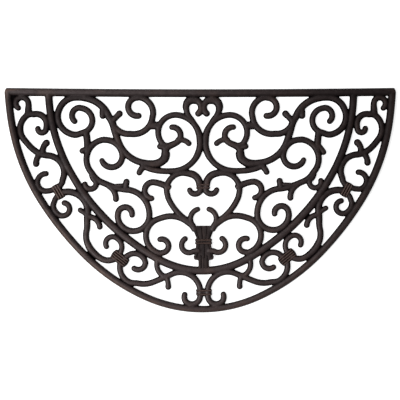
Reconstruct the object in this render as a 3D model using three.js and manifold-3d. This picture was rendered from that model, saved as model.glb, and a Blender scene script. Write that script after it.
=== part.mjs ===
// Half-round openwork rubber doormat: a bowed rim, an inner arch and mirrored scrollwork in one moulding.
// Millimetres, +Z up, underside at z = 0, straight edge toward +Y.
import * as THREE from 'three';
import Module from 'manifold-3d';

// Overall sizes
const HALF_WIDTH = 350;
const DEPTH = 401;

// Heights of the moulded bars above the floor
const SCROLL_HIGH = 8;
const ARCH_HIGH = 8.6;
const RIM_HIGH = 9.4;
const COLLAR_HIGH = 9;

// Widths of the bars at the floor
const RIM_WIDE = 11.6;
const RIM_SIDE_WIDE = 13.2;
const ARCH_WIDE = 13;
const EDGE_WIDE = 13.8;

// Share of a bar's width left flat on top, and the largest gap between a curve and its chords
const TOP_SHARE = 0.5;
const TOLERANCE = 1.05;

// Unevenness of the moulding: the ornament leans, tilts and drifts to the right, the straight edge sags
const LEAN = 0.0084;
const TILT = 0.0084;
const DRIFT = 3.8;
const ARCH_DRIFT = 1.6;
const SAG = 2.5;

const rad = THREE.MathUtils.degToRad;

// One bend of a bar: an arc, or a spiral where its two radii differ
class Bend extends THREE.Curve {
  constructor([x, y, r1, r2, from, to, own], wide) {
    super();
    Object.assign(this, { x, y, r1, r2, from: rad(from), to: rad(to), wide: own ?? wide });
  }
  getPoint(t, out = new THREE.Vector2()) {
    const a = this.from + (this.to - this.from) * t;
    const r = this.r1 + (this.r2 - this.r1) * t;
    return out.set(this.x + r * Math.cos(a), this.y + r * Math.sin(a));
  }
}

// Direction of a curve at t
function headingAt(curve, t) {
  const a = curve.getPoint(Math.max(0, t - 1e-4));
  const b = curve.getPoint(Math.min(1, t + 1e-4));
  return b.sub(a).normalize();
}

// Smooth link from the end of one curve to the start of the next
function link(before, after) {
  const a = before.getPoint(1);
  const b = after.getPoint(0);
  const reach = a.distanceTo(b) * 0.37;
  const a2 = headingAt(before, 1).multiplyScalar(reach).add(a);
  const b2 = headingAt(after, 0).multiplyScalar(-reach).add(b);
  return new THREE.CubicBezierCurve(a, a2, b2, b);
}

// Points along one curve, closer together where it turns more
function walk(curve, outer) {
  let turn = 0;
  const probes = 12;
  for (let i = 0; i < probes; i++) {
    const p = headingAt(curve, i / probes);
    const q = headingAt(curve, (i + 1) / probes);
    turn += Math.abs(Math.atan2(p.cross(q), p.dot(q)));
  }
  const length = curve.getLength();
  const radius = length / Math.max(turn, 0.01) + outer;
  const step = 2 * Math.acos(1 - TOLERANCE / Math.max(radius, 2));
  const count = Math.max(1, Math.round(turn / step), Math.round(length / 90));
  const points = [];
  for (let i = 0; i <= count; i++) points.push(curve.getPoint(i / count));
  return points;
}

// Centreline of a bar from its bends, with the links between them; each point carries its width
function centreline(bends, wide) {
  const curves = bends.map((row) => new Bend(row, wide));
  const points = [];
  curves.forEach((curve, i) => {
    if (i > 0) {
      const before = curves[i - 1];
      const between = walk(link(before, curve), wide / 2);
      const last = between.length - 1;
      between.forEach((p, k) => (p.wide = before.wide + ((curve.wide - before.wide) * k) / last));
      points.push(...between.slice(1, -1));
    }
    const along = walk(curve, wide / 2);
    along.forEach((p) => (p.wide = curve.wide));
    points.push(...along);
  });
  return points.filter((p, i) => i === 0 || p.distanceTo(points[i - 1]) > 1);
}

// Centreline of a short stroke: start point, start heading, change of heading, length
function strokeLine(x, y, heading, turn, length) {
  const count = Math.max(1, Math.round(Math.abs(turn) / 22));
  const points = [new THREE.Vector2(x, y)];
  for (let i = 0; i < count; i++) {
    const a = rad(heading + (turn * (i + 0.5)) / count);
    const last = points[points.length - 1];
    const step = length / count;
    points.push(new THREE.Vector2(last.x + Math.cos(a) * step, last.y + Math.sin(a) * step));
  }
  return points;
}

// Centreline of a chain of tangent arcs: start point and heading, rows of radius and turn
function chainLine(x, y, heading, rows, outer) {
  let a = rad(heading);
  let p = new THREE.Vector2(x, y);
  const points = [p];
  for (const [radius, turn] of rows) {
    const whole = rad(turn);
    const step = 2 * Math.acos(1 - TOLERANCE / (radius + outer));
    const count = Math.max(1, Math.ceil(Math.abs(whole) / step));
    const part = whole / count;
    const chord = 2 * radius * Math.sin(Math.abs(part) / 2);
    for (let i = 0; i < count; i++) {
      p = new THREE.Vector2(p.x + chord * Math.cos(a + part / 2), p.y + chord * Math.sin(a + part / 2));
      a += part;
      points.push(p);
    }
  }
  return points;
}

// Where a design point lies on the uneven moulding
function lay(p, drift) {
  const out = Math.min(1, Math.abs(p.x) / HALF_WIDTH);
  const at = new THREE.Vector2(p.x + LEAN * (-p.y - 7.5), p.y);
  if (drift === 'ornament') {
    at.x += DRIFT * (1 - out ** 4);
    at.y += TILT * p.x * THREE.MathUtils.smoothstep(-p.y, 40, 240);
  }
  if (drift === 'arch') at.x += ARCH_DRIFT;
  if (drift === 'edge') at.y += SAG * (out ** 2 - 0.5);
  return at;
}

// A bow moved outwards and widened by a table of y, outward shift and width
function shaped(line, rows) {
  const column = (y, k) => {
    const i = rows.findIndex((row) => row[0] > y);
    if (i === 0) return rows[0][k];
    if (i < 0) return rows[rows.length - 1][k];
    const share = (y - rows[i - 1][0]) / (rows[i][0] - rows[i - 1][0]);
    return THREE.MathUtils.lerp(rows[i - 1][k], rows[i][k], share);
  };
  return line.map((p, i) => {
    const along = line[Math.min(i + 1, line.length - 1)].clone().sub(line[Math.max(i - 1, 0)]).normalize();
    const shift = column(p.y, 1);
    const moved = new THREE.Vector2(p.x + along.y * shift, p.y - along.x * shift);
    moved.wide = column(p.y, 2);
    return moved;
  });
}

// Closed flat-bottomed sweep along points, with a half-width and a height at each
function sweep(points, halves, heights) {
  const n = points.length;
  const position = [];
  points.forEach((p, i) => {
    const a = points[Math.max(0, i - 1)];
    const b = points[Math.min(n - 1, i + 1)];
    const along = b.clone().sub(a).normalize();
    const side = new THREE.Vector2(-along.y, along.x);
    const h = halves[i];
    const top = h * TOP_SHARE;
    position.push(p.x + side.x * h, p.y + side.y * h, 0, p.x - side.x * h, p.y - side.y * h, 0);
    position.push(p.x - side.x * top, p.y - side.y * top, heights[i]);
    position.push(p.x + side.x * top, p.y + side.y * top, heights[i]);
  });
  const index = [0, 1, 2, 0, 2, 3];
  for (let i = 0; i < n - 1; i++) {
    for (let k = 0; k < 4; k++) {
      const a = i * 4 + k;
      const b = i * 4 + ((k + 1) % 4);
      index.push(a, b + 4, b, a, a + 4, b + 4);
    }
  }
  const e = (n - 1) * 4;
  index.push(e, e + 2, e + 1, e, e + 3, e + 2);
  return { position, index };
}

// Points pushed out beyond an end so that it finishes round, and their half-widths
function roundEnd(end, before, tip) {
  const away = end.clone().sub(before).normalize();
  return [
    [away.clone().multiplyScalar(tip * 0.62).add(end), tip * 0.79],
    [away.clone().multiplyScalar(tip * 0.97).add(end), tip * 0.28],
  ];
}

// A bar along a centreline; a tip of 0 leaves that end square inside another bar
function bar(line, { wide, high, tips = [0, 0], drift = 'ornament', mirror = false }) {
  let points = line.map((p) => lay(new THREE.Vector2(mirror ? -p.x : p.x, p.y), drift));
  let halves = line.map((p) => (p.wide ?? wide) / 2);
  if (tips[0] > 0) {
    const caps = roundEnd(points[0], points[1], tips[0]).reverse();
    halves[0] = tips[0];
    points = [...caps.map((c) => c[0]), ...points];
    halves = [...caps.map((c) => c[1]), ...halves];
  }
  if (tips[1] > 0) {
    const m = points.length;
    const caps = roundEnd(points[m - 1], points[m - 2], tips[1]);
    halves[m - 1] = tips[1];
    points = [...points, ...caps.map((c) => c[0])];
    halves = [...halves, ...caps.map((c) => c[1])];
  }
  const heights = halves.map((h) => (h < wide * 0.2 ? high * 0.7 : high));
  return sweep(points, halves, heights);
}

// Bows: radius, turn in degrees, from the bottom of the mat up to the straight edge
const RIM = [
  [243, 24],
  [368, 22],
  [578, 11],
  [376, 25],
  [600, 4.5],
];
const ARCH = [
  [164, 28],
  [410, 14],
  [330, 16],
  [440, 8],
  [300, 20],
];

// How far each stretch of a bow leaves its chain: y, outward shift, width
const RIM_SHAPE = [
  [-380, 0, RIM_WIDE],
  [-240, -0.5, RIM_SIDE_WIDE],
];
const ARCH_SHAPE = [
  [-330, 0.2, 13.8],
  [-270, -0.9, 13.8],
  [-230, -1.3, 14.4],
  [-190, -0.5, 14],
  [-140, 0.7, 13],
  [-20, 0.6, 13.4],
];

// Scroll bars of the left half: halves they are on, end radii (0 inside another bar), width, then bends
// Bend columns: centre x, centre y, radius at start, radius at end, angle at start, angle at end,
// and the width where it is not the bar's own
const SCROLLS = [
  { on: 'both', tips: [5, 0], wide: 9.6, bends: [
    [-321, -26.5, 10.2, 11.3, 232, 4, 10.6],
    [-329.8, -40, 20, 20, 2, -24, 12.8],
  ] },
  { on: 'both', tips: [5, 0], wide: 10.4, bends: [
    [-286.5, -71.5, 7, 7.5, 180, 360],
    [-296, -63, 17.8, 17.6, 8, 100, 11.4],
    [-294.6, -70.8, 28.8, 30.4, 122, 220, 11.2],
    [-278, -149.5, 30.6, 29.8, 88, -25, 11.4],
    [-278, -150, 31, 32.5, -30, -57],
  ] },
  { on: 'both', tips: [5, 0], wide: 10, bends: [
    [-279.5, -165.5, 14.5, 16.5, 92, 258],
    [-278, -161, 20.5, 21, 272, 318],
  ] },
  { on: 'both', tips: [5, 0], wide: 10, bends: [
    [-250.3, -213, 10.3, 12.9, 78, -90],
    [-249, -207, 18.6, 18.6, 222, 175],
    [-247.5, -206, 19, 19.6, 165, 125],
  ] },
  { on: 'both', tips: [0, 0], wide: 11, bends: [
    [-242, -219, 35.8, 35.2, 105, -10, 12.2],
    [-169.5, -258, 40, 42, 172, 202],
    [-169.5, -258, 42, 43.5, 208, 228, 12.6],
    [-171, -282.5, 24, 24, 238, 305],
  ] },
  { on: 'both', tips: [4.8, 0], wide: 9.6, bends: [
    [-163.5, -276, 11.8, 12, 208, 70],
    [-165, -282, 18, 19, 50, -35],
  ] },
  { on: 'both', tips: [0, 5], wide: 10.6, bends: [
    [-121, -317, 29, 31.4, 172, 245],
    [-106, -301, 48.6, 47.4, 255, 290],
    [-42, -365, 36.5, 35.5, 115, 0],
    [-21.5, -371.5, 14.5, 15, -10, -140],
    [-23.5, -371, 12.5, 11.4, -158, -190],
  ] },
  { on: 'both', tips: [0, 5], wide: 10.2, bends: [
    [-124, -315, 21, 20, 148, 10],
    [-117.5, -311, 12.8, 12.5, -10, -126],
  ] },
  { on: 'both', tips: [5.2, 0], wide: 10.8, bends: [
    [-219.5, -48, 13.8, 13.8, 228, 90],
    [-219.5, -57, 22.3, 22.3, 85, -75],
    [-225.5, -48, 34.6, 32.8, 262, 175, 11.4],
    [-225.5, -48, 32.2, 32.4, 160, 92, 12],
    [-212, -75, 58.2, 50.8, 86, 30, 12.8],
    [-212, -75, 51.2, 53.4, 25, 5, 12.8],
    [-97, -75, 57.4, 58.4, 200, 262, 12],
    [-85.2, -116, 18, 18, 285, 318, 15],
    [-85.2, -116, 18.7, 18.4, 326, 362, 16],
  ] },
  { on: 'both', tips: [0, 5], wide: 10, bends: [
    [-85.2, -116, 18.4, 18.4, 0, 10, 14],
    [-54.5, -83, 15.5, 14, 296, 452, 10.8],
  ] },
  { on: 'both', tips: [5.4, 0], wide: 11.2, bends: [
    [-116.8, -32.8, 16, 16.6, 278, 95],
    [-116.5, -44.5, 29.3, 28, 78, 0],
    [-123, -46.5, 33.6, 35, -8, -98],
    [-131, -47.5, 34, 34, -104, -145],
  ] },
  { on: 'both', tips: [0, 0], wide: 10.6, bends: [
    [-49, -79, 30.2, 32, 218, 90],
    [-49, -92, 45, 43.8, 88, 2],
    [-55, -95.5, 50.5, 52, -8, -88],
    [-68, -61, 86.5, 86.5, -93, -118],
  ] },
  { on: 'left', tips: [5.8, 0], wide: 10.4, bends: [
    [-16, -34, 13.5, 15, -51, 44, 12.6],
    [-17.2, -34, 14, 13.6, 78, 140, 14.6],
    [-16.6, -34, 13.4, 13, 150, 178, 12.4],
    [-1.4, -34, 27.6, 28, 188, 222],
    [-39.5, -91, 35.3, 35.2, 35, -5],
  ] },
  { on: 'right', tips: [5.8, 0], wide: 10.4, bends: [
    [-16, -34, 13.5, 15, -51, 44, 12.6],
    [-17.6, -34, 14, 13.6, 78, 140, 15],
    [-17.4, -34, 13.4, 13, 150, 178, 14],
    [-2, -34, 28, 28, 188, 222, 11.4],
    [-39.5, -91, 35.3, 35.2, 35, -5],
  ] },
  { on: 'both', tips: [4.8, 5], wide: 11, bends: [
    [-163.5, -121.5, 18.6, 18.8, 202, 345],
    [-174, -121.5, 29.8, 29.8, -2, 92],
    [-173, -126, 35, 35.4, 98, 222],
    [-171, -129, 36, 39.5, 228, 258],
    [-141, -222, 42, 44, 84, 4],
    [-125.5, -226, 28.8, 28, -4, -176],
    [-140, -224, 13, 12.3, 176, -6],
  ] },
  { on: 'left', tips: [4.8, 0], wide: 9.6, bends: [
    [-201.5, -168.5, 10, 10.4, 188, 372, 10.4],
    [-175, -158, 20, 24, 190, 168, 11.6],
  ] },
  { on: 'right', tips: [4.8, 0], wide: 9.6, bends: [
    [-201.5, -168.5, 10.4, 10.8, 166, 372],
    [-175, -158, 20, 24, 190, 168, 11.6],
  ] },
  { on: 'both', tips: [0, 5], wide: 10, bends: [
    [-83, -206, 36, 36, 52, 70, 11.4],
    [-90, -182, 14.8, 14.8, 80, 175, 11],
    [-90, -181.5, 14.8, 14.8, 185, 260],
  ] },
  { on: 'both', tips: [4.8, 0], wide: 10.4, bends: [
    [-15.3, -178, 9.6, 11.4, 203, 322],
    [-27, -171, 20.8, 19.2, 0, 75, 13],
    [-35.5, -180.5, 29.5, 30, 92, 198],
    [22, -159.5, 92, 92, 203, 240],
  ] },
  { on: 'both', tips: [5, 0], wide: 10.8, bends: [
    [-75, -281.5, 12.4, 12, 104, -88, 10.4],
    [-71, -262, 33.6, 30.8, -102, -250],
    [-60, -276, 47.5, 48.8, 106, 48],
    [-50, -268, 37.2, 37.4, 38, 24],
  ] },
  { on: 'both', tips: [4.6, 0], wide: 9.4, bends: [
    [-5.5, -233.5, 18, 17.5, 105, 226],
  ] },
  { on: 'both', tips: [5, 0], wide: 9.8, bends: [
    [-26, -280.5, 13.6, 13.3, 122, 290],
    [-16, -262, 29, 29, 268, 285],
  ] },
];

// Short spurs, knobs and links of the left half, and those whose shape is not the same on both halves
// Columns: halves, start x, start y, heading, turn, length, width, end radius
const SPURS = [
  ['both', -339, -12, -50, 0, 14, 13, 0],
  ['both', -285, -114, 100, -60, 19, 9.6, 5.8],
  ['both', -288, -115, 215, 58, 21.5, 9.2, 5.4],
  ['both', -208, -224, 146, 0, 14.6, 8.6, 4.6],
  ['both', -207, -228, 4, -88, 31, 10, 5.2],
  ['both', -85, -305, -97, 38, 32, 9.8, 0],
  ['both', -69.5, -332, -58, -36, 23.5, 8.8, 4.8],
  ['both', -176.8, -35, 262, 0, 13.5, 13.6, 5.8],
  ['both', -161, -57.5, 46, 0, 17.5, 10.4, 5.5],
  ['both', -95, -66, 0, 0, 17, 14, 0],
  ['both', -46, -92.5, 18, -66, 23, 9.6, 5],
  ['both', -68, -105, 170, 0, 9, 9, 5.2],
  ['both', -74, -98.5, -15, 0, 12, 8, 0],
  ['both', -208.5, -79, 280, -14, 36, 12.4, 0],
  ['left', -205, -106, 205, 0, 11.5, 9.4, 5.2],
  ['right', -205, -99, 220, 24, 19.5, 8.8, 5],
  ['both', -104.5, -138, 214, 34, 15.5, 11, 5.2],
  ['both', -139.5, -177, 80, 0, 11, 9.8, 5],
  ['both', -156, -173, 2, 0, 12, 7, 0],
  ['both', -169.5, -173, -30, -62, 28.5, 10.4, 5.4],
];

// Ribbed collars: halves, centre x, centre y, angle along the ribs, rib length, count, pitch, rib width
const COLLARS = [
  ['both', -258.3, -182.8, -61, 27.5, 3, 4.6, 5.4],
  ['both', -150, -303, -38.7, 32, 4, 4.2, 5],
  ['left', 0, -175, 0, 24.6, 2, 6.6, 7],
  ['left', 0, -365, 0, 29, 2, 7.2, 6.6],
  ['left', 0, -274, 0, 29.6, 2, 6.6, 6],
];

// Outline of the half vase from its lip to its foot: half-width, y
const VASE = [
  [14, -246],
  [20.5, -248.5],
  [17, -255],
  [12.6, -263],
  [13.5, -281],
  [15, -296],
  [18, -301],
  [16.5, -306],
  [9.3, -307],
  [9.2, -324],
];

const solids = [];

// Straight edge across the top
const edgeLine = [];
for (let i = 0; i <= 10; i++) {
  edgeLine.push(new THREE.Vector2((HALF_WIDTH - EDGE_WIDE / 2) * (i / 5 - 1), -EDGE_WIDE / 2));
}
const edgeTip = EDGE_WIDE / 2;
solids.push(bar(edgeLine, { wide: EDGE_WIDE, high: RIM_HIGH, tips: [edgeTip, edgeTip], drift: 'edge' }));

// Rim and inner arch, each half walked up from the bottom and both halves joined into one line
function bow(bottom, rows, wide, top) {
  const walked = chainLine(0, bottom, 0, rows, wide / 2);
  const right = walked.filter((p) => p.y < top - 1);
  const end = right[right.length - 1];
  const beyond = walked[right.length] ?? new THREE.Vector2(end.x + 0.5, end.y + 10);
  right.push(end.clone().lerp(beyond, (top - end.y) / (beyond.y - end.y)));
  const left = right.slice(1).map((p) => new THREE.Vector2(-p.x, p.y));
  return [...left.reverse(), ...right];
}
const rimLine = shaped(bow(-DEPTH + RIM_WIDE / 2, RIM, RIM_WIDE, -6), RIM_SHAPE);
const rimTip = RIM_SIDE_WIDE / 2;
solids.push(bar(rimLine, { wide: RIM_SIDE_WIDE, high: RIM_HIGH, tips: [rimTip, rimTip], drift: 'rim' }));
const archLine = shaped(bow(-326.2, ARCH, ARCH_WIDE, -6), ARCH_SHAPE);
solids.push(bar(archLine, { wide: ARCH_WIDE, high: ARCH_HIGH, drift: 'arch' }));

// Whether a row is on the half being made
const isOn = (on, mirror) => on === 'both' || on === (mirror ? 'right' : 'left');

// Scrolls and spurs, left then right
for (const mirror of [false, true]) {
  for (const { on, tips, wide, bends } of SCROLLS) {
    const line = centreline(bends, wide);
    if (isOn(on, mirror)) solids.push(bar(line, { wide, high: SCROLL_HIGH, tips, mirror }));
  }
  for (const [on, x, y, heading, turn, length, wide, tip] of SPURS) {
    const line = strokeLine(x, y, heading, turn, length);
    if (isOn(on, mirror)) solids.push(bar(line, { wide, high: SCROLL_HIGH, tips: [0, tip], mirror }));
  }
}

// Ribs lie side by side along a collar, over a lower block that fills the grooves between them
function collar(x, y, angle, length, count, pitch, wide, mirror) {
  const along = new THREE.Vector2(Math.cos(rad(angle)), Math.sin(rad(angle)));
  const side = new THREE.Vector2(-along.y, along.x);
  const straight = (middle, reach) => [-reach, reach].map((s) => middle.clone().addScaledVector(along, s));
  const centre = new THREE.Vector2(x, y);
  for (let i = 0; i < count; i++) {
    const middle = centre.clone().addScaledVector(side, (i - (count - 1) / 2) * pitch);
    const line = straight(middle, length / 2 - wide / 2);
    solids.push(bar(line, { wide, high: COLLAR_HIGH, tips: [wide / 2, wide / 2], mirror }));
  }
  const base = straight(centre, length / 2 - 2);
  solids.push(bar(base, { wide: (count - 1) * pitch + wide * 0.7, high: SCROLL_HIGH - 1, mirror }));
}
for (const [on, x, y, angle, length, count, pitch, wide] of COLLARS) {
  for (const mirror of [false, true]) {
    if (isOn(on, mirror)) collar(x, y, angle, length, count, pitch, wide, mirror);
  }
}

// Vase and stem between the hearts and the inner arch
function vase() {
  const right = VASE.map(([x, y]) => new THREE.Vector2(x, y));
  const left = VASE.map(([x, y]) => new THREE.Vector2(-x, y)).reverse();
  const shape = new THREE.Shape([...left, ...right].map((p) => lay(p, 'ornament')));
  const plate = new THREE.ExtrudeGeometry(shape, { depth: SCROLL_HIGH, bevelEnabled: false });
  const position = Array.from(plate.getAttribute('position').array);
  return { position, index: position.filter((v, i) => i % 3 === 0).map((v, i) => i) };
}
solids.push(vase());

// Join every bar into one closed body
const wasm = await Module();
wasm.setup();
function solidOf({ position, index }) {
  const keys = new Map();
  const vertProperties = [];
  const place = index.map((i) => {
    const v = position.slice(i * 3, i * 3 + 3).map((c) => Math.round(c * 1000) / 1000);
    const key = v.join(' ');
    if (!keys.has(key)) {
      keys.set(key, keys.size);
      vertProperties.push(...v);
    }
    return keys.get(key);
  });
  const mesh = new wasm.Mesh({
    numProp: 3,
    vertProperties: new Float32Array(vertProperties),
    triVerts: new Uint32Array(place),
  });
  return new wasm.Manifold(mesh);
}
let body = solidOf(solids[0]);
for (const piece of solids.slice(1)) body = body.add(solidOf(piece));

const { vertProperties, triVerts } = body.getMesh();
const geometry = new THREE.BufferGeometry();
geometry.setAttribute('position', new THREE.BufferAttribute(new Float32Array(vertProperties), 3));
geometry.setIndex(Array.from(triVerts));
geometry.computeVertexNormals();

// Origin under the middle of the mat's own box
geometry.computeBoundingBox();
const middle = geometry.boundingBox.getCenter(new THREE.Vector3());
geometry.translate(-middle.x, -middle.y, 0);

const rubber = new THREE.MeshStandardMaterial({ color: 0x3c2d2a, roughness: 0.62, metalness: 0 });
const mat = new THREE.Mesh(geometry, rubber);
mat.name = 'mat';

const doormat = new THREE.Group();
doormat.name = 'doormat';
doormat.add(mat);

export default doormat;
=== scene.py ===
"""Half-round openwork rubber doormat, laid flat on a pale floor and seen from straight above.

Design sizes are millimetres in the part's own layout: x from the middle of the straight edge, y down from
that edge. They turn into metres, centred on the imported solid, when the mesh is made.
"""

import math

import bmesh
import bpy
import numpy as np
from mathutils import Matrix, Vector


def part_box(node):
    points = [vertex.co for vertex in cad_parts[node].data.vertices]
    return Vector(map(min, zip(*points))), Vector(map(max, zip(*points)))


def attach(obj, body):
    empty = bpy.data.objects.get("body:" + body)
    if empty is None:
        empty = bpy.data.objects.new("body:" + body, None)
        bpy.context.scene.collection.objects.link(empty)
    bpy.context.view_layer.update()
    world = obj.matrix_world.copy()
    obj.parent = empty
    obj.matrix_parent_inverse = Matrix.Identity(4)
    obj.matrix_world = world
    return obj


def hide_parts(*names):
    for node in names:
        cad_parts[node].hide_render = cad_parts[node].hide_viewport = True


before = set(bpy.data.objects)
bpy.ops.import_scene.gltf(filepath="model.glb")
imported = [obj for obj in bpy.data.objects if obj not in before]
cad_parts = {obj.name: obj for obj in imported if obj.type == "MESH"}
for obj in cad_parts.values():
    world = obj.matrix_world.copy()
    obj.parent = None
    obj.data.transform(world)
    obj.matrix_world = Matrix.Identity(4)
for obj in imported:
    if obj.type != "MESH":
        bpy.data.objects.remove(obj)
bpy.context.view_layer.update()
MM = 0.001

# Overall sizes
HALF_WIDTH = 350
DEPTH = 401

# Heights of the moulded bars above the floor
SCROLL_HIGH = 8
ARCH_HIGH = 8.6
RIM_HIGH = 9.4
COLLAR_HIGH = 9
COLLAR_BASE_HIGH = SCROLL_HIGH - 1.4

# Widths of the bars at the floor
RIM_WIDE = 11.6
RIM_SIDE_WIDE = 13.2
ARCH_WIDE = 13
EDGE_WIDE = 13.8

# Unevenness of the moulding: the ornament leans, tilts and drifts to the right, the straight edge sags
LEAN = 0.0084
TILT = 0.0084
TILT_FROM = 40
TILT_OVER = 200
DRIFT = 3.8
ARCH_DRIFT = 1.6
SAG = 2.5

# Where the bows start and end
ARCH_BOTTOM = -326.2
BOW_TOP = -6

# How finely the bars are swept, and how round their section is
STEP = 1.3
STRAIGHT_POINTS = 20
ACROSS = np.sin(np.radians(np.linspace(-90, 90, 15)))
ROUNDNESS = 2.3

# Links between arcs, and the lengths over which widths and tips ease in
LINK_PULL = 0.37
WIDTH_EASE = 4
TIP_EASE = 7
DOME = np.radians([18, 36, 52, 66, 78, 87])
HIDDEN_DOME = 0.5

# Web of rubber where bars meet, the voxels that the moulding is worked in, and what is pressed flat below
WEB = 0.45
GROW = 0.35
VOXEL = 0.75
SMOOTHING = 1
FACES = 150_000
SOLE = 0.6

# The rim's shape beside its chain of arcs: y, outward shift, width
RIM_SHAPE = [
    (-380, 0, RIM_WIDE),
    (-240, -0.5, RIM_SIDE_WIDE),
]

# Bows: radius, turn in degrees, from the bottom of the mat up to the straight edge
RIM = [
    (243, 24),
    (368, 22),
    (578, 11),
    (376, 25),
    (600, 4.5),
]
# How far each stretch of the arch leaves that chain: y, outward shift, width
ARCH_SHAPE = [
    (-330, 0.2, 13.8),
    (-270, -0.9, 13.8),
    (-230, -1.3, 14.4),
    (-190, -0.5, 14),
    (-140, 0.7, 13),
    (-20, 0.6, 13.4),
]
ARCH = [
    (164, 28),
    (410, 14),
    (330, 16),
    (440, 8),
    (300, 20),
]

# Scroll bars of the left half: halves they are on, end radii (0 inside another bar), width, then bends
# Bend columns: centre x, centre y, radius at start, radius at end, angle at start, angle at end,
# and the width where it is not the bar's own
SCROLLS = [
    ("both", (5, 0), 9.6, [
        (-321, -26.5, 10.2, 11.3, 232, 4, 10.6),
        (-329.8, -40, 20, 20, 2, -24, 12.8),
    ]),
    ("both", (5, 0), 10.4, [
        (-286.5, -71.5, 7, 7.5, 180, 360),
        (-296, -63, 17.8, 17.6, 8, 100, 11.4),
        (-294.6, -70.8, 28.8, 30.4, 122, 220, 11.2),
        (-278, -149.5, 30.6, 29.8, 88, -25, 11.4),
        (-278, -150, 31, 32.5, -30, -57),
    ]),
    ("both", (5, 0), 10, [
        (-279.5, -165.5, 14.5, 16.5, 92, 258),
        (-278, -161, 20.5, 21, 272, 318),
    ]),
    ("both", (5, 0), 10, [
        (-250.3, -213, 10.3, 12.9, 78, -90),
        (-249, -207, 18.6, 18.6, 222, 175),
        (-247.5, -206, 19, 19.6, 165, 125),
    ]),
    ("both", (0, 0), 11, [
        (-242, -219, 35.8, 35.2, 105, -10, 12.2),
        (-169.5, -258, 40, 42, 172, 202),
        (-169.5, -258, 42, 43.5, 208, 228, 12.6),
        (-171, -282.5, 24, 24, 238, 305),
    ]),
    ("both", (4.8, 0), 9.6, [
        (-163.5, -276, 11.8, 12, 208, 70),
        (-165, -282, 18, 19, 50, -35),
    ]),
    ("both", (0, 5), 10.6, [
        (-121, -317, 29, 31.4, 172, 245),
        (-106, -301, 48.6, 47.4, 255, 290),
        (-42, -365, 36.5, 35.5, 115, 0),
        (-21.5, -371.5, 14.5, 15, -10, -140),
        (-23.5, -371, 12.5, 11.4, -158, -190),
    ]),
    ("both", (0, 5), 10.2, [
        (-124, -315, 21, 20, 148, 10),
        (-117.5, -311, 12.8, 12.5, -10, -126),
    ]),
    ("both", (5.2, 0), 10.8, [
        (-219.5, -48, 13.8, 13.8, 228, 90),
        (-219.5, -57, 22.3, 22.3, 85, -75),
        (-225.5, -48, 34.6, 32.8, 262, 175, 11.4),
        (-225.5, -48, 32.2, 32.4, 160, 92, 12),
        (-212, -75, 58.2, 50.8, 86, 30, 12.8),
        (-212, -75, 51.2, 53.4, 25, 5, 12.8),
        (-97, -75, 57.4, 58.4, 200, 262, 12),
        (-85.2, -116, 18, 18, 285, 318, 15),
        (-85.2, -116, 18.7, 18.4, 326, 362, 16),
    ]),
    ("both", (0, 5), 10, [
        (-85.2, -116, 18.4, 18.4, 0, 10, 14),
        (-54.5, -83, 15.5, 14, 296, 452, 10.8),
    ]),
    ("both", (5.4, 0), 11.2, [
        (-116.8, -32.8, 16, 16.6, 278, 95),
        (-116.5, -44.5, 29.3, 28, 78, 0),
        (-123, -46.5, 33.6, 35, -8, -98),
        (-131, -47.5, 34, 34, -104, -145),
    ]),
    ("both", (0, 0), 10.6, [
        (-49, -79, 30.2, 32, 218, 90),
        (-49, -92, 45, 44.2, 88, 32),
        (-49, -92, 44, 43.8, 22, 2, 12),
        (-55, -95.5, 50.5, 50.8, -8, -28, 12),
        (-55, -95.5, 51, 52, -38, -88),
        (-68, -61, 86.5, 86.5, -93, -118),
    ]),
    ("left", (5.8, 0), 10.4, [
        (-16, -34, 13.5, 14.1, -51, 44, 11.8),
        (-17.2, -34, 14, 13.6, 78, 140, 14.6),
        (-16.6, -34, 13.4, 13, 150, 178, 12.4),
        (-1.4, -34, 27.6, 28, 188, 222),
        (-39.5, -91, 35.3, 35.2, 35, -5),
    ]),
    ("right", (5.8, 0), 10.4, [
        (-16, -34, 13.5, 14.1, -51, 44, 11.8),
        (-17.6, -34, 14, 13.6, 78, 140, 15),
        (-17.4, -34, 13.4, 13, 150, 178, 14),
        (-2, -34, 28, 28, 188, 222, 11.4),
        (-39.5, -91, 35.3, 35.2, 35, -5),
    ]),
    ("both", (4.8, 5), 11, [
        (-163.5, -121.5, 18.6, 18.8, 202, 345),
        (-174, -121.5, 29.8, 29.8, -2, 92),
        (-173, -126, 35, 35.4, 98, 222),
        (-171, -129, 36, 39.5, 228, 258),
        (-141, -222, 42, 44, 84, 4),
        (-125.5, -226, 28.8, 28, -4, -176),
        (-140, -224, 13, 12.3, 176, -6),
    ]),
    ("left", (4.8, 0), 9.6, [
        (-201.5, -168.5, 10, 10.4, 188, 372, 10.4),
        (-175, -158, 20, 24, 190, 168, 11.6),
    ]),
    ("right", (4.8, 0), 9.6, [
        (-201.5, -168.5, 10.4, 10.8, 166, 372),
        (-175, -158, 20, 24, 190, 168, 11.6),
    ]),
    ("both", (0, 5), 10, [
        (-83, -206, 36, 36, 52, 70, 11.4),
        (-90, -182, 14.8, 14.8, 80, 175, 11),
        (-90, -181.5, 14.8, 14.8, 185, 260),
    ]),
    ("both", (4.8, 0), 10.4, [
        (-15.3, -178, 9.6, 11.4, 203, 322),
        (-27, -171, 20.8, 19.2, 0, 75, 13),
        (-35.5, -180.5, 29.5, 30, 92, 198),
        (22, -159.5, 92, 92, 203, 240),
    ]),
    ("both", (5, 0), 10.8, [
        (-75, -281.5, 12.4, 12, 104, -88, 10.4),
        (-71, -262, 33.6, 30.8, -102, -250),
        (-60, -276, 47.5, 48.8, 106, 48),
        (-50, -268, 37.2, 37.4, 38, 24),
    ]),
    ("both", (4.6, 0), 9.4, [
        (-5.5, -233.5, 18, 17.5, 105, 226),
    ]),
    ("both", (5, 0), 9.8, [
        (-26, -280.5, 13.6, 13.3, 122, 290),
        (-16, -262, 29, 29, 268, 285),
    ]),
]

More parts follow.
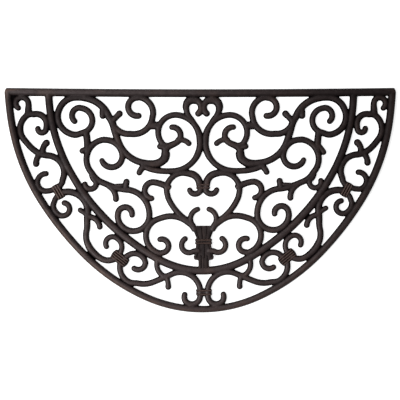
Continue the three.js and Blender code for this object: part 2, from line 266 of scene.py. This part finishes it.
# Short spurs, knobs and links of the left half, and those whose shape is not the same on both halves
# Columns: halves, start x, start y, heading, turn, length, width, end radius
SPURS = [
    ("both", -285, -114, 100, -60, 19, 11, 6.2),
    ("both", -288, -115, 215, 58, 21.5, 10.6, 5.8),
    ("both", -208, -224, 146, 0, 14.6, 8.6, 4.6),
    ("both", -207, -228, 4, -88, 31, 10, 5.2),
    ("both", -81.5, -304, -117, 92, 38, 9.6, 0),
    ("both", -69, -333.4, -60, -34, 22.4, 9.2, 5.2),
    ("both", -176.8, -35, 262, 0, 13.5, 13.6, 5.8),
    ("both", -161, -57.5, 46, 0, 17.5, 10.6, 6),
    ("both", -95, -66, 0, 0, 17, 14, 0),
    ("both", -46, -92.5, 18, -66, 23, 9.6, 5),
    ("both", -68, -105, 170, 0, 9, 9, 5.2),
    ("both", -74, -98.5, -15, 0, 12, 8, 0),
    ("both", -208.5, -79, 280, -14, 36, 12.4, 0),
    ("left", -205, -106, 205, 0, 11.5, 9.4, 5.2),
    ("right", -205, -99, 220, 24, 19.5, 8.8, 5),
    ("both", -104.5, -138, 214, 34, 15.5, 11, 5.2),
    ("both", -139.2, -177, 80, 0, 11, 11.2, 5.6),
    ("both", -156, -173, 2, 0, 12, 7, 0),
    ("both", -169.5, -173, -30, -62, 28.5, 10.4, 5.4),
]

# Low fill in the upper left corner: start x, start y, heading, turn, length, width
CORNER = (-339, -12, -50, 0, 14, 13)
CORNER_HIGH = 5.2

# Ribbed collars: halves, centre x, centre y, angle along the ribs, rib length, count, pitch, rib width
COLLARS = [
    ("both", -258.3, -182.8, -61, 27.5, 3, 4.6, 5.4),
    ("both", -150, -303, -38.7, 32, 4, 4.2, 5),
    ("left", 0, -175, 0, 25.4, 2, 5.6, 5),
    ("left", 0, -365, 0, 29, 2, 6.6, 5.2),
    ("left", 0, -274, 0, 31, 2, 5.6, 4.8),
]

# Outline of the right half of the vase and stem, from its lip to its foot: half-width, y
VASE = [
    (14, -246),
    (20.5, -248.5),
    (17, -255),
    (12.6, -263),
    (13.5, -281),
    (15, -296),
    (18, -301),
    (16.5, -306),
    (9.3, -307),
    (9.2, -324),
]
VASE_HIGH = 6.4

# Flutes of the vase and its stem: start x, start y, end x, end y, width at start, width at end, height
FLUTES = [
    (-6.5, -276, -15, -251, 5.6, 8.4, 7),
    (-2.2, -276, -5, -249.5, 5.6, 8.4, 7.3),
    (2.2, -276, 5, -249.5, 5.6, 8.4, 7.3),
    (6.5, -276, 15, -251, 5.6, 8.4, 7),
    (-6, -272, -13, -301, 6.4, 9, 7),
    (0, -272, 0, -302, 6.4, 9.4, 7.3),
    (6, -272, 13, -301, 6.4, 9, 7),
    (-5.4, -300, -5.6, -324, 6.4, 6.2, 7.6),
    (0, -300, 0, -324, 5, 5, 6.9),
    (5.4, -300, 5.6, -324, 6.4, 6.2, 7.4),
]


# Lines
def directions(line):
    """Unit direction at each point of a line."""
    along = np.gradient(line[:, :2], axis=0)
    return along / np.linalg.norm(along, axis=1)[:, None]


def outwards(line):
    """Unit direction out of the mat at each point of a bow."""
    along = directions(line)
    return np.stack([along[:, 1], -along[:, 0]], axis=1)


def arc(bend, wide):
    """Points of one arc or spiral, each with the width it carries."""
    x, y, r1, r2, start, end = bend[:6]
    own = bend[6] if len(bend) > 6 else wide
    length = abs(math.radians(end - start)) * (r1 + r2) / 2
    t = np.linspace(0, 1, max(2, math.ceil(length / STEP)) + 1)
    a = np.radians(start + (end - start) * t)
    r = r1 + (r2 - r1) * t
    return np.stack([x + r * np.cos(a), y + r * np.sin(a), np.full(len(t), own)], axis=1)


def link(before, after):
    """Smooth curve from the end of one arc to the start of the next."""
    a, b = before[-1], after[0]
    reach = np.linalg.norm(b[:2] - a[:2]) * LINK_PULL
    out = before[-1, :2] - before[-2, :2]
    into = after[1, :2] - after[0, :2]
    a2 = a[:2] + out / np.linalg.norm(out) * reach
    b2 = b[:2] - into / np.linalg.norm(into) * reach
    t = np.linspace(0, 1, max(2, math.ceil(reach / LINK_PULL / STEP)) + 1)[:, None]
    s = 1 - t
    place = s**3 * a[:2] + 3 * s * s * t * a2 + 3 * s * t * t * b2 + t**3 * b[:2]
    return np.hstack([place, a[2] + (b[2] - a[2]) * t])


def scroll_line(bends, wide):
    arcs = [arc(bend, wide) for bend in bends]
    parts = [arcs[0]]
    for before, after in zip(arcs, arcs[1:]):
        parts += [link(before, after)[1:-1], after]
    return np.vstack(parts)


def stroke_line(x, y, heading, turn, length, wide):
    """A short stroke that leaves a point and turns evenly."""
    count = max(3, math.ceil(length / STEP))
    a = np.radians(heading + turn * (np.arange(count) + 0.5) / count)
    steps = np.stack([np.cos(a), np.sin(a)], axis=1) * length / count
    place = np.vstack([[0, 0], np.cumsum(steps, axis=0)]) + (x, y)
    return np.hstack([place, np.full((count + 1, 1), wide)])


def bow_line(bottom, rows, wide, top):
    """A bow walked up from the bottom as a chain of arcs, with its mirror image."""
    heading, place, points = 0.0, np.array([0.0, bottom]), []
    for radius, turn in rows:
        count = math.ceil(math.radians(turn) * radius / (2 * STEP))
        part = math.radians(turn) / count
        chord = 2 * radius * math.sin(part / 2)
        for _ in range(count):
            a = heading + part / 2
            place = place + chord * np.array([math.cos(a), math.sin(a)])
            heading += part
            points.append(place)
    beyond = place + np.array([math.cos(heading), math.sin(heading)]) * np.arange(1, 60)[:, None]
    right = np.vstack([points, beyond])
    right = right[right[:, 1] < top]
    left = right[::-1] * (-1, 1)
    line = np.vstack([left, [[0, bottom]], right])
    return np.hstack([line, np.full((len(line), 1), wide)])


def shaped(line, rows):
    """A bow moved outwards and widened by a table of y, outward shift and width."""
    y, out, wide = np.array(rows, float).T
    moved = line[:, :2] + outwards(line) * np.interp(line[:, 1], y, out)[:, None]
    return np.column_stack([moved, np.interp(line[:, 1], y, wide)])


def laid(line, drift):
    """The line where it lies on the uneven moulding."""
    x, y = line[:, 0], line[:, 1]
    out = np.minimum(1, np.abs(x) / HALF_WIDTH)
    lean = LEAN * (-y - 7.5)
    if drift == "ornament":
        deep = np.clip((-y - TILT_FROM) / TILT_OVER, 0, 1)
        x, y = x + DRIFT * (1 - out**4), y + TILT * x * deep * deep * (3 - 2 * deep)
    elif drift == "arch":
        x = x + ARCH_DRIFT
    elif drift == "edge":
        y = y + SAG * (out**2 - 0.5)
    return np.column_stack([x + lean, y, line[:, 2]])


# Bars
class Shell:
    """Closed sweeps gathered into one mesh, in millimetres."""

    def __init__(self):
        self.points, self.faces, self.size = [], [], 0

    def add(self, points, faces):
        self.points.append(points)
        self.faces += [[i + self.size for i in f] for f in faces]
        self.size += len(points)

    def mesh(self, name, shift):
        mesh = bpy.data.meshes.new(name)
        points = (np.vstack(self.points) + shift) * MM
        mesh.from_pydata(points.tolist(), [], self.faces)
        mesh.update()
        return mesh


def height_at(rho):
    """Height of the rounded section at a share of the half-width."""
    return np.maximum(0, 1 - np.minimum(rho, 1) ** ROUNDNESS) ** (1 / ROUNDNESS)


def eased(values, span):
    """Widths without sudden steps."""
    n = max(1, round(span / STEP))
    padded = np.concatenate([[values[0]] * n, values, [values[-1]] * n])
    return np.convolve(padded, np.ones(2 * n + 1) / (2 * n + 1), mode="valid")


def bar(shell, line, high, tips=(0, 0), drift="ornament", mirror=False):
    """One bar of rounded section; its ends are domes, shallow where they are hidden in another bar."""
    if mirror:
        line = line * (-1, 1, 1)
    line = laid(line, drift)
    gap = np.linalg.norm(np.diff(line[:, :2], axis=0), axis=1)
    line = line[np.concatenate([[True], gap > 0.2])]
    place, half = line[:, :2], eased(line[:, 2] / 2, WIDTH_EASE)
    along = directions(line)
    run = np.concatenate([[0], np.cumsum(np.linalg.norm(np.diff(place, axis=0), axis=1))])
    for end, tip, away in ((0, tips[0], run), (-1, tips[1], run[-1] - run)):
        if tip:
            near = np.clip(1 - away / TIP_EASE, 0, 1)
            half = half + (tip - half[end]) * near * near * (3 - 2 * near)
    rows = [(p, d, h, 0.0) for p, d, h in zip(place, along, half)]
    for end, tip, sign in ((0, tips[0], -1), (-1, tips[1], 1)):
        reach = half[end] if tip else half[end] * HIDDEN_DOME
        dome = []
        for a in DOME:
            at = place[end] + sign * along[end] * reach * math.sin(a)
            dome.append((at, along[end], half[end] * math.cos(a), math.sin(a)))
        rows = dome[::-1] + rows if end == 0 else rows + dome
    n = len(ACROSS)
    points = []
    for p, d, h, out in rows:
        side = np.array([-d[1], d[0]])
        rho = np.sqrt(out**2 + (1 - out**2) * ACROSS**2)
        z = high * height_at(rho)
        points.append(np.column_stack([p + side * (h * ACROSS)[:, None], z]))
    faces = []
    for i in range(len(rows) - 1):
        a, b = i * n, (i + 1) * n
        faces += [[a + k, a + k + 1, b + k + 1, b + k] for k in range(n - 1)]
        faces.append([a + n - 1, a, b, b + n - 1])
    last = (len(rows) - 1) * n
    faces.append(list(range(n))[::-1])
    faces.append([last + k for k in range(n)])
    shell.add(np.vstack(points), faces)


def sides(on):
    """The halves that a row is on: False is the left one, True its mirror image."""
    return {"both": (False, True), "left": (False,), "right": (True,)}[on]


bars, ribs, flutes = Shell(), Shell(), Shell()

edge = np.column_stack([
    np.linspace(-HALF_WIDTH + EDGE_WIDE / 4, HALF_WIDTH - EDGE_WIDE / 4, 240),
    np.full(240, -EDGE_WIDE / 2),
    np.full(240, EDGE_WIDE),
])
bar(bars, edge, RIM_HIGH, drift="edge")
rim = shaped(bow_line(-DEPTH + RIM_WIDE / 2, RIM, RIM_WIDE, BOW_TOP), RIM_SHAPE)
bar(bars, rim, RIM_HIGH, (RIM_SIDE_WIDE / 2, RIM_SIDE_WIDE / 2), "rim")
arch = shaped(bow_line(ARCH_BOTTOM, ARCH, ARCH_WIDE, BOW_TOP), ARCH_SHAPE)
bar(bars, arch, ARCH_HIGH, drift="arch")

for on, tips, wide, bends in SCROLLS:
    for mirror in sides(on):
        bar(bars, scroll_line(bends, wide), SCROLL_HIGH, tips, mirror=mirror)
for on, x, y, heading, turn, length, wide, tip in SPURS:
    for mirror in sides(on):
        line = stroke_line(x, y, heading, turn, length, wide)
        bar(bars, line, SCROLL_HIGH, (0, tip), mirror=mirror)
bar(bars, stroke_line(*CORNER), CORNER_HIGH)

spread = np.linspace(-1, 1, STRAIGHT_POINTS)[:, None]
for on, x, y, angle, length, count, pitch, wide in COLLARS:
    along = np.array([math.cos(math.radians(angle)), math.sin(math.radians(angle))])
    side = np.array([-along[1], along[0]])
    for mirror in sides(on):
        for i in range(count):
            middle = (x, y) + side * (i - (count - 1) / 2) * pitch
            reach = spread * (length / 2 - wide / 2)
            line = np.column_stack([middle + along * reach, np.full(STRAIGHT_POINTS, wide)])
            bar(ribs, line, COLLAR_HIGH, (wide / 2, wide / 2), mirror=mirror)
        broad = np.full(STRAIGHT_POINTS, (count - 1) * pitch + wide * 1.3)
        reach = spread * (length / 2 - 4)
        base = np.column_stack([(x, y) + along * reach, broad])
        bar(bars, base, COLLAR_BASE_HIGH, mirror=mirror)


def plate(shell, outline, high):
    """A flat plate cut to a symmetrical outline."""
    right = np.array([(x, y, 0) for x, y in outline], float)
    ring = laid(np.vstack([right, right[::-1] * (-1, 1, 1)]), "ornament")
    n = len(ring)
    top = ring + (0, 0, high)
    around = [[i, (i + 1) % n, n + (i + 1) % n, n + i] for i in range(n)]
    shell.add(np.vstack([ring, top]), [list(range(n)), list(range(n, 2 * n))] + around)


plate(bars, VASE, VASE_HIGH)
for x1, y1, x2, y2, wide1, wide2, high in FLUTES:
    t = np.linspace(0, 1, STRAIGHT_POINTS)
    line = np.column_stack([x1 + (x2 - x1) * t, y1 + (y2 - y1) * t, wide1 + (wide2 - wide1) * t])
    bar(flutes, line, high, (wide1 / 2, wide2 / 2))


# Moulding
def with_modifier(mesh, kind, **settings):
    """The mesh after one modifier."""
    worker = bpy.data.objects.new("worker", mesh)
    bpy.context.scene.collection.objects.link(worker)
    modifier = worker.modifiers.new("work", kind)
    for name, value in settings.items():
        setattr(modifier, name, value)
    graph = bpy.context.evaluated_depsgraph_get()
    made = bpy.data.meshes.new_from_object(worker.evaluated_get(graph))
    bpy.data.objects.remove(worker)
    return made


def places(mesh):
    co = np.empty(len(mesh.vertices) * 3)
    mesh.vertices.foreach_get("co", co)
    return co.reshape(-1, 3)


def swollen(mesh, by):
    """Every vertex moved along its normal."""
    normals = np.empty(len(mesh.vertices) * 3)
    mesh.vertex_normals.foreach_get("vector", normals)
    moved = places(mesh) + normals.reshape(-1, 3) * by
    mesh.vertices.foreach_set("co", moved.ravel())
    mesh.update()


def settled(mesh):
    """The underside brought flat onto the floor, and the top to the height of the solid."""
    co = places(mesh)
    co[:, 2] = np.where(co[:, 2] < SOLE * MM, 0, co[:, 2] * RIM_HIGH * MM / co[:, 2].max())
    mesh.vertices.foreach_set("co", co.ravel())
    mesh.update()


def without_bubbles(mesh):
    """Only the largest connected part: the voxels can leave a small closed bubble inside the rubber."""
    work = bmesh.new()
    work.from_mesh(mesh)
    seen, parts = set(), []
    for start in work.verts:
        if start in seen:
            continue
        seen.add(start)
        part, front = [], [start]
        while front:
            vertex = front.pop()
            part.append(vertex)
            for joined in vertex.link_edges:
                other = joined.other_vert(vertex)
                if other not in seen:
                    seen.add(other)
                    front.append(other)
        parts.append(part)
    parts.sort(key=len)
    bubbles = [vertex for part in parts[:-1] for vertex in part]
    bmesh.ops.delete(work, geom=bubbles, context="VERTS")
    work.to_mesh(mesh)
    work.free()


everything = np.vstack(bars.points)
low, high = everything.min(0), everything.max(0)
node_low, node_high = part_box("mat")
shift = np.array([
    (node_low.x + node_high.x) / 2 / MM - (low[0] + high[0]) / 2,
    (node_low.y + node_high.y) / 2 / MM - (low[1] + high[1]) / 2,
    0,
])

work = with_modifier(bars.mesh("bars", shift), "REMESH", mode="VOXEL", voxel_size=VOXEL * MM)
swollen(work, WEB * MM)
work = with_modifier(work, "REMESH", mode="VOXEL", voxel_size=VOXEL * MM)
swollen(work, (GROW - WEB) * MM)
work = with_modifier(work, "SMOOTH", factor=0.5, iterations=SMOOTHING)
settled(work)
share = FACES / (len(work.polygons) * 2)
work = with_modifier(work, "DECIMATE", ratio=min(1, share))
without_bubbles(work)

mat = bpy.data.objects.new("moulded_mat", work)
bpy.context.scene.collection.objects.link(mat)
starts = [len(work.vertices)]
pieces = [mat]
for name, shell in (("ribs", ribs), ("flutes", flutes)):
    made = bpy.data.objects.new(name, shell.mesh(name, shift))
    bpy.context.scene.collection.objects.link(made)
    starts.append(starts[-1] + len(made.data.vertices))
    pieces.append(made)
with bpy.context.temp_override(active_object=mat, selected_editable_objects=pieces):
    bpy.ops.object.join()
for polygon in mat.data.polygons:
    polygon.use_smooth = True


# Painted light, kept on the vertices: the painted highlight on the crest of a bar and the painted shade
# around it, and where the bronze tint, partly a painted sheen, shows
HOLLOW_ROUNDS = 34
NOT_NEAR = 99.0
DIAGONAL = 1.42


def smoothstep(values, low, high):
    t = np.clip((values - low) / (high - low), 0, 1)
    return t * t * (3 - 2 * t)


def hollows(mesh, rounds):
    """How far each vertex lies below the surface around it, in millimetres."""
    ends = np.empty(len(mesh.edges) * 2, int)
    mesh.edges.foreach_get("vertices", ends)
    a, b = ends.reshape(-1, 2).T
    count = len(mesh.vertices)
    degree = np.bincount(a, minlength=count) + np.bincount(b, minlength=count)
    z = places(mesh)[:, 2] / MM
    level = z.copy()
    for _ in range(rounds):
        around = np.bincount(a, level[b], count) + np.bincount(b, level[a], count)
        level = (level + around / np.maximum(degree, 1)) / 2
    return level - z


def beside(mesh, line):
    """Signed distance from a bow's line, outwards positive, in millimetres."""
    spots = line[:, :2] + shift[:2]
    co = places(mesh)[:, :2] / MM
    far = np.full(len(co), NOT_NEAR)
    for place, out in zip(spots, outwards(line)):
        away = co - place
        near = np.abs(away[:, 0]) + np.abs(away[:, 1]) < np.abs(far) * DIAGONAL
        size = np.linalg.norm(away[near], axis=1)
        side = np.sign(away[near] @ out)
        far[near] = np.where(size < np.abs(far[near]), size * side, far[near])
    return far


co = places(mat.data) / MM
# Painted highlight: the higher a point of a bar, the lighter its colour, with painted shade on the low
# flanks
painted_light = smoothstep(co[:, 2], 4.6, 7.8)
sunk = hollows(mat.data, HOLLOW_ROUNDS)
# Painted shade in the hollows and valleys where bars meet, and a little darker wherever a point does not
# stand proud of its surroundings
painted_light *= (1 - 0.92 * smoothstep(sunk, 0.02, 0.4)) * (1 - 0.3 * smoothstep(sunk, -1.5, -0.2))
on_edge = smoothstep(co[:, 1], 185, 187.5)
off_middle = np.abs(co[:, 0])
# Painted light: crests lighter towards the bottom of the mat and towards its middle
painted_light_falloff = 0.65 + 0.46 * smoothstep(-co[:, 1], -120, 170) + 0.14 * smoothstep(-off_middle, -230, -90)
above = co[:, 1] - shift[1] + EDGE_WIDE / 2 - SAG * ((co[:, 0] / HALF_WIDTH) ** 2 - 0.5)
# Painted light on the straight edge: lighter on its left and on its upper side, darker to the right
painted_edge_light = (1.3 - 0.78 * smoothstep(co[:, 0], -120, 320)) * (0.6 + 0.45 * smoothstep(above, -4, 0))
painted_light *= painted_light_falloff + (painted_edge_light - painted_light_falloff) * on_edge
from_rim = beside(mat.data, laid(rim, "rim"))
outer = smoothstep(from_rim, -2.5, 4) * (np.abs(from_rim) < 9)
# Bronze tint on the outer side of the rim: partly the bronze finish, partly a painted sheen, stronger
# towards the left where the key lamp falls
bronze_and_sheen = outer * (0.3 + 0.7 * smoothstep(-co[:, 0], -120, 120))
# Painted shade: crests darker towards the sides, except on the rim's outer side and on the straight edge
painted_light *= 1 - 0.25 * smoothstep(off_middle, 190, 300) * (1 - outer) * (1 - on_edge)
on_ribs, on_flutes = slice(starts[0], starts[1]), slice(starts[1], starts[2])
# Painted highlight on the collar ribs by height; their bronze tint is even
painted_light[on_ribs] = 1.1 * smoothstep(co[on_ribs, 2], 6.8, 8.8)
bronze_and_sheen[on_ribs] = 0.7
# Dimmer painted highlight on the flutes of the vase by height, and no bronze tint
painted_light[on_flutes] = 0.32 * smoothstep(co[on_flutes, 2], 5.4, 7.4)
bronze_and_sheen[on_flutes] = 0
for name, values in (("painted_light", painted_light), ("bronze_and_sheen", bronze_and_sheen)):
    layer = mat.data.attributes.new(name, "FLOAT", "POINT")
    layer.data.foreach_set("value", values.astype(np.float32))


# Rubber
def rubber():
    """Near-black brown rubber with painted light in its colour: lighter brown under the painted highlight
    on raised parts, and a bronze tint on its raised and outer parts, partly finish and partly painted
    sheen.
    """
    material = bpy.data.materials.new("bronzed_rubber_with_painted_light")
    material.use_nodes = True
    nodes, links = material.node_tree.nodes, material.node_tree.links
    shader = nodes["Principled BSDF"]
    shader.inputs["IOR"].default_value = 1.5

    def layer(name):
        made = nodes.new("ShaderNodeAttribute")
        made.attribute_name = name
        return made.outputs["Fac"]

    def ranged(source, low, high, to_low, to_high):
        made = nodes.new("ShaderNodeMapRange")
        made.inputs["From Min"].default_value = low
        made.inputs["From Max"].default_value = high
        made.inputs["To Min"].default_value = to_low
        made.inputs["To Max"].default_value = to_high
        links.new(source, made.inputs["Value"])
        return made.outputs["Result"]

    def noise(scale, detail):
        made = nodes.new("ShaderNodeTexNoise")
        made.inputs["Scale"].default_value = scale
        made.inputs["Detail"].default_value = detail
        links.new(place.outputs["Object"], made.inputs["Vector"])
        return made.outputs["Fac"]

    def maths(operation, first, second):
        made = nodes.new("ShaderNodeMath")
        made.operation = operation
        links.new(first, made.inputs[0])
        links.new(second, made.inputs[1])
        return made.outputs[0]

    def mixed(factor, first, second):
        made = nodes.new("ShaderNodeMix")
        made.data_type = "RGBA"
        links.new(factor, made.inputs["Factor"])
        for socket, colour in (("A", first), ("B", second)):
            if isinstance(colour, tuple):
                made.inputs[socket].default_value = colour
            else:
                links.new(colour, made.inputs[socket])
        return made.outputs["Result"]

    place = nodes.new("ShaderNodeTexCoord")
    grain = noise(900, 3)
    blotches = ranged(noise(110, 3), 0.3, 0.7, 0.78, 1.18)
    # The painted light from the vertices, broken by blotches of uneven tone
    painted_light_blotched = maths("MULTIPLY", layer("painted_light"), blotches)
    patches = ranged(noise(14, 4), 0.38, 0.66, 0.35, 1)
    specks = ranged(noise(30, 5), 0.5, 0.72, 0, 0.3)

    # Painted light in the base colour: near-black rubber in painted shade, lighter brown under the
    # painted highlight
    body = mixed(painted_light_blotched, (0.0012, 0.0009, 0.0010, 1), (0.0167, 0.0110, 0.0109, 1))
    # Bronze tint, partly finish and partly painted sheen, shown only where the painted light falls on the
    # crests
    bronze_with_painted_light = maths("MULTIPLY", layer("bronze_and_sheen"), patches)
    bronze_with_painted_light = maths("MULTIPLY", maths("MAXIMUM", bronze_with_painted_light, specks), painted_light_blotched)
    colour = mixed(bronze_with_painted_light, body, (0.040, 0.0225, 0.0165, 1))
    links.new(colour, shader.inputs["Base Color"])
    links.new(ranged(painted_light_blotched, 0, 1, 0.0, 0.16), shader.inputs["Specular IOR Level"])
    links.new(ranged(grain, 0.3, 0.7, 0.48, 0.66), shader.inputs["Roughness"])

    bump = nodes.new("ShaderNodeBump")
    bump.inputs["Strength"].default_value = 0.25
    bump.inputs["Distance"].default_value = 0.4 * MM
    links.new(grain, bump.inputs["Height"])
    links.new(bump.outputs["Normal"], shader.inputs["Normal"])
    return material


mat.data.materials.clear()
mat.data.materials.append(rubber())
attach(mat, "root")
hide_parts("mat")


# Floor, light and camera
def floor_material():
    material = bpy.data.materials.new("pale_floor")
    material.use_nodes = True
    shader = material.node_tree.nodes["Principled BSDF"]
    shader.inputs["Base Color"].default_value = (0.25, 0.25, 0.25, 1)
    shader.inputs["Roughness"].default_value = 1
    shader.inputs["Specular IOR Level"].default_value = 0
    shader.inputs["Emission Color"].default_value = (1, 1, 1, 1)
    shader.inputs["Emission Strength"].default_value = 0.82
    return material


def floor():
    reach = 6
    mesh = bpy.data.meshes.new("floor")
    corners = [(-reach, -reach, 0), (reach, -reach, 0), (reach, reach, 0), (-reach, reach, 0)]
    mesh.from_pydata(corners, [], [(0, 1, 2, 3)])
    mesh.materials.append(floor_material())
    made = bpy.data.objects.new("floor", mesh)
    made.location.z = -0.05 * MM
    bpy.context.scene.collection.objects.link(made)


def softbox(name, place, size, energy):
    """A square area light that faces the middle of the mat."""
    light = bpy.data.lights.new(name, "AREA")
    light.shape = "SQUARE"
    light.size = size
    light.energy = energy
    made = bpy.data.objects.new(name, light)
    made.location = place
    made.rotation_euler = (Vector(place) * -1).to_track_quat("-Z", "Y").to_euler()
    bpy.context.scene.collection.objects.link(made)


floor()
softbox("key", (-1.35, -0.5, 1.6), 0.7, 108)
softbox("back", (-0.6, 1.3, 1.6), 0.7, 30)
softbox("fill", (0.5, 0.3, 2.6), 1.2, 6)

world = bpy.data.worlds.new("studio")
world.use_nodes = True
world.node_tree.nodes["Background"].inputs["Color"].default_value = (1, 1, 1, 1)
world.node_tree.nodes["Background"].inputs["Strength"].default_value = 0.04
bpy.context.scene.world = world
bpy.context.scene.view_settings.view_transform = "Standard"

# 400 pixels of the picture span 717.6 mm of floor, and the mat's middle is a fifth of a pixel off centre
PICTURE = 400
PIXEL = 1.794
LENS = 120
SENSOR = 36
camera = bpy.data.objects.new("camera", bpy.data.cameras.new("camera"))
camera.data.lens = LENS
camera.data.sensor_width = SENSOR
off = 0.2 * PIXEL * MM
middle = (node_low + node_high) / 2
camera.location = (middle.x - off, middle.y + off, PICTURE * PIXEL * MM * LENS / SENSOR)
bpy.context.scene.collection.objects.link(camera)
bpy.context.scene.camera = camera
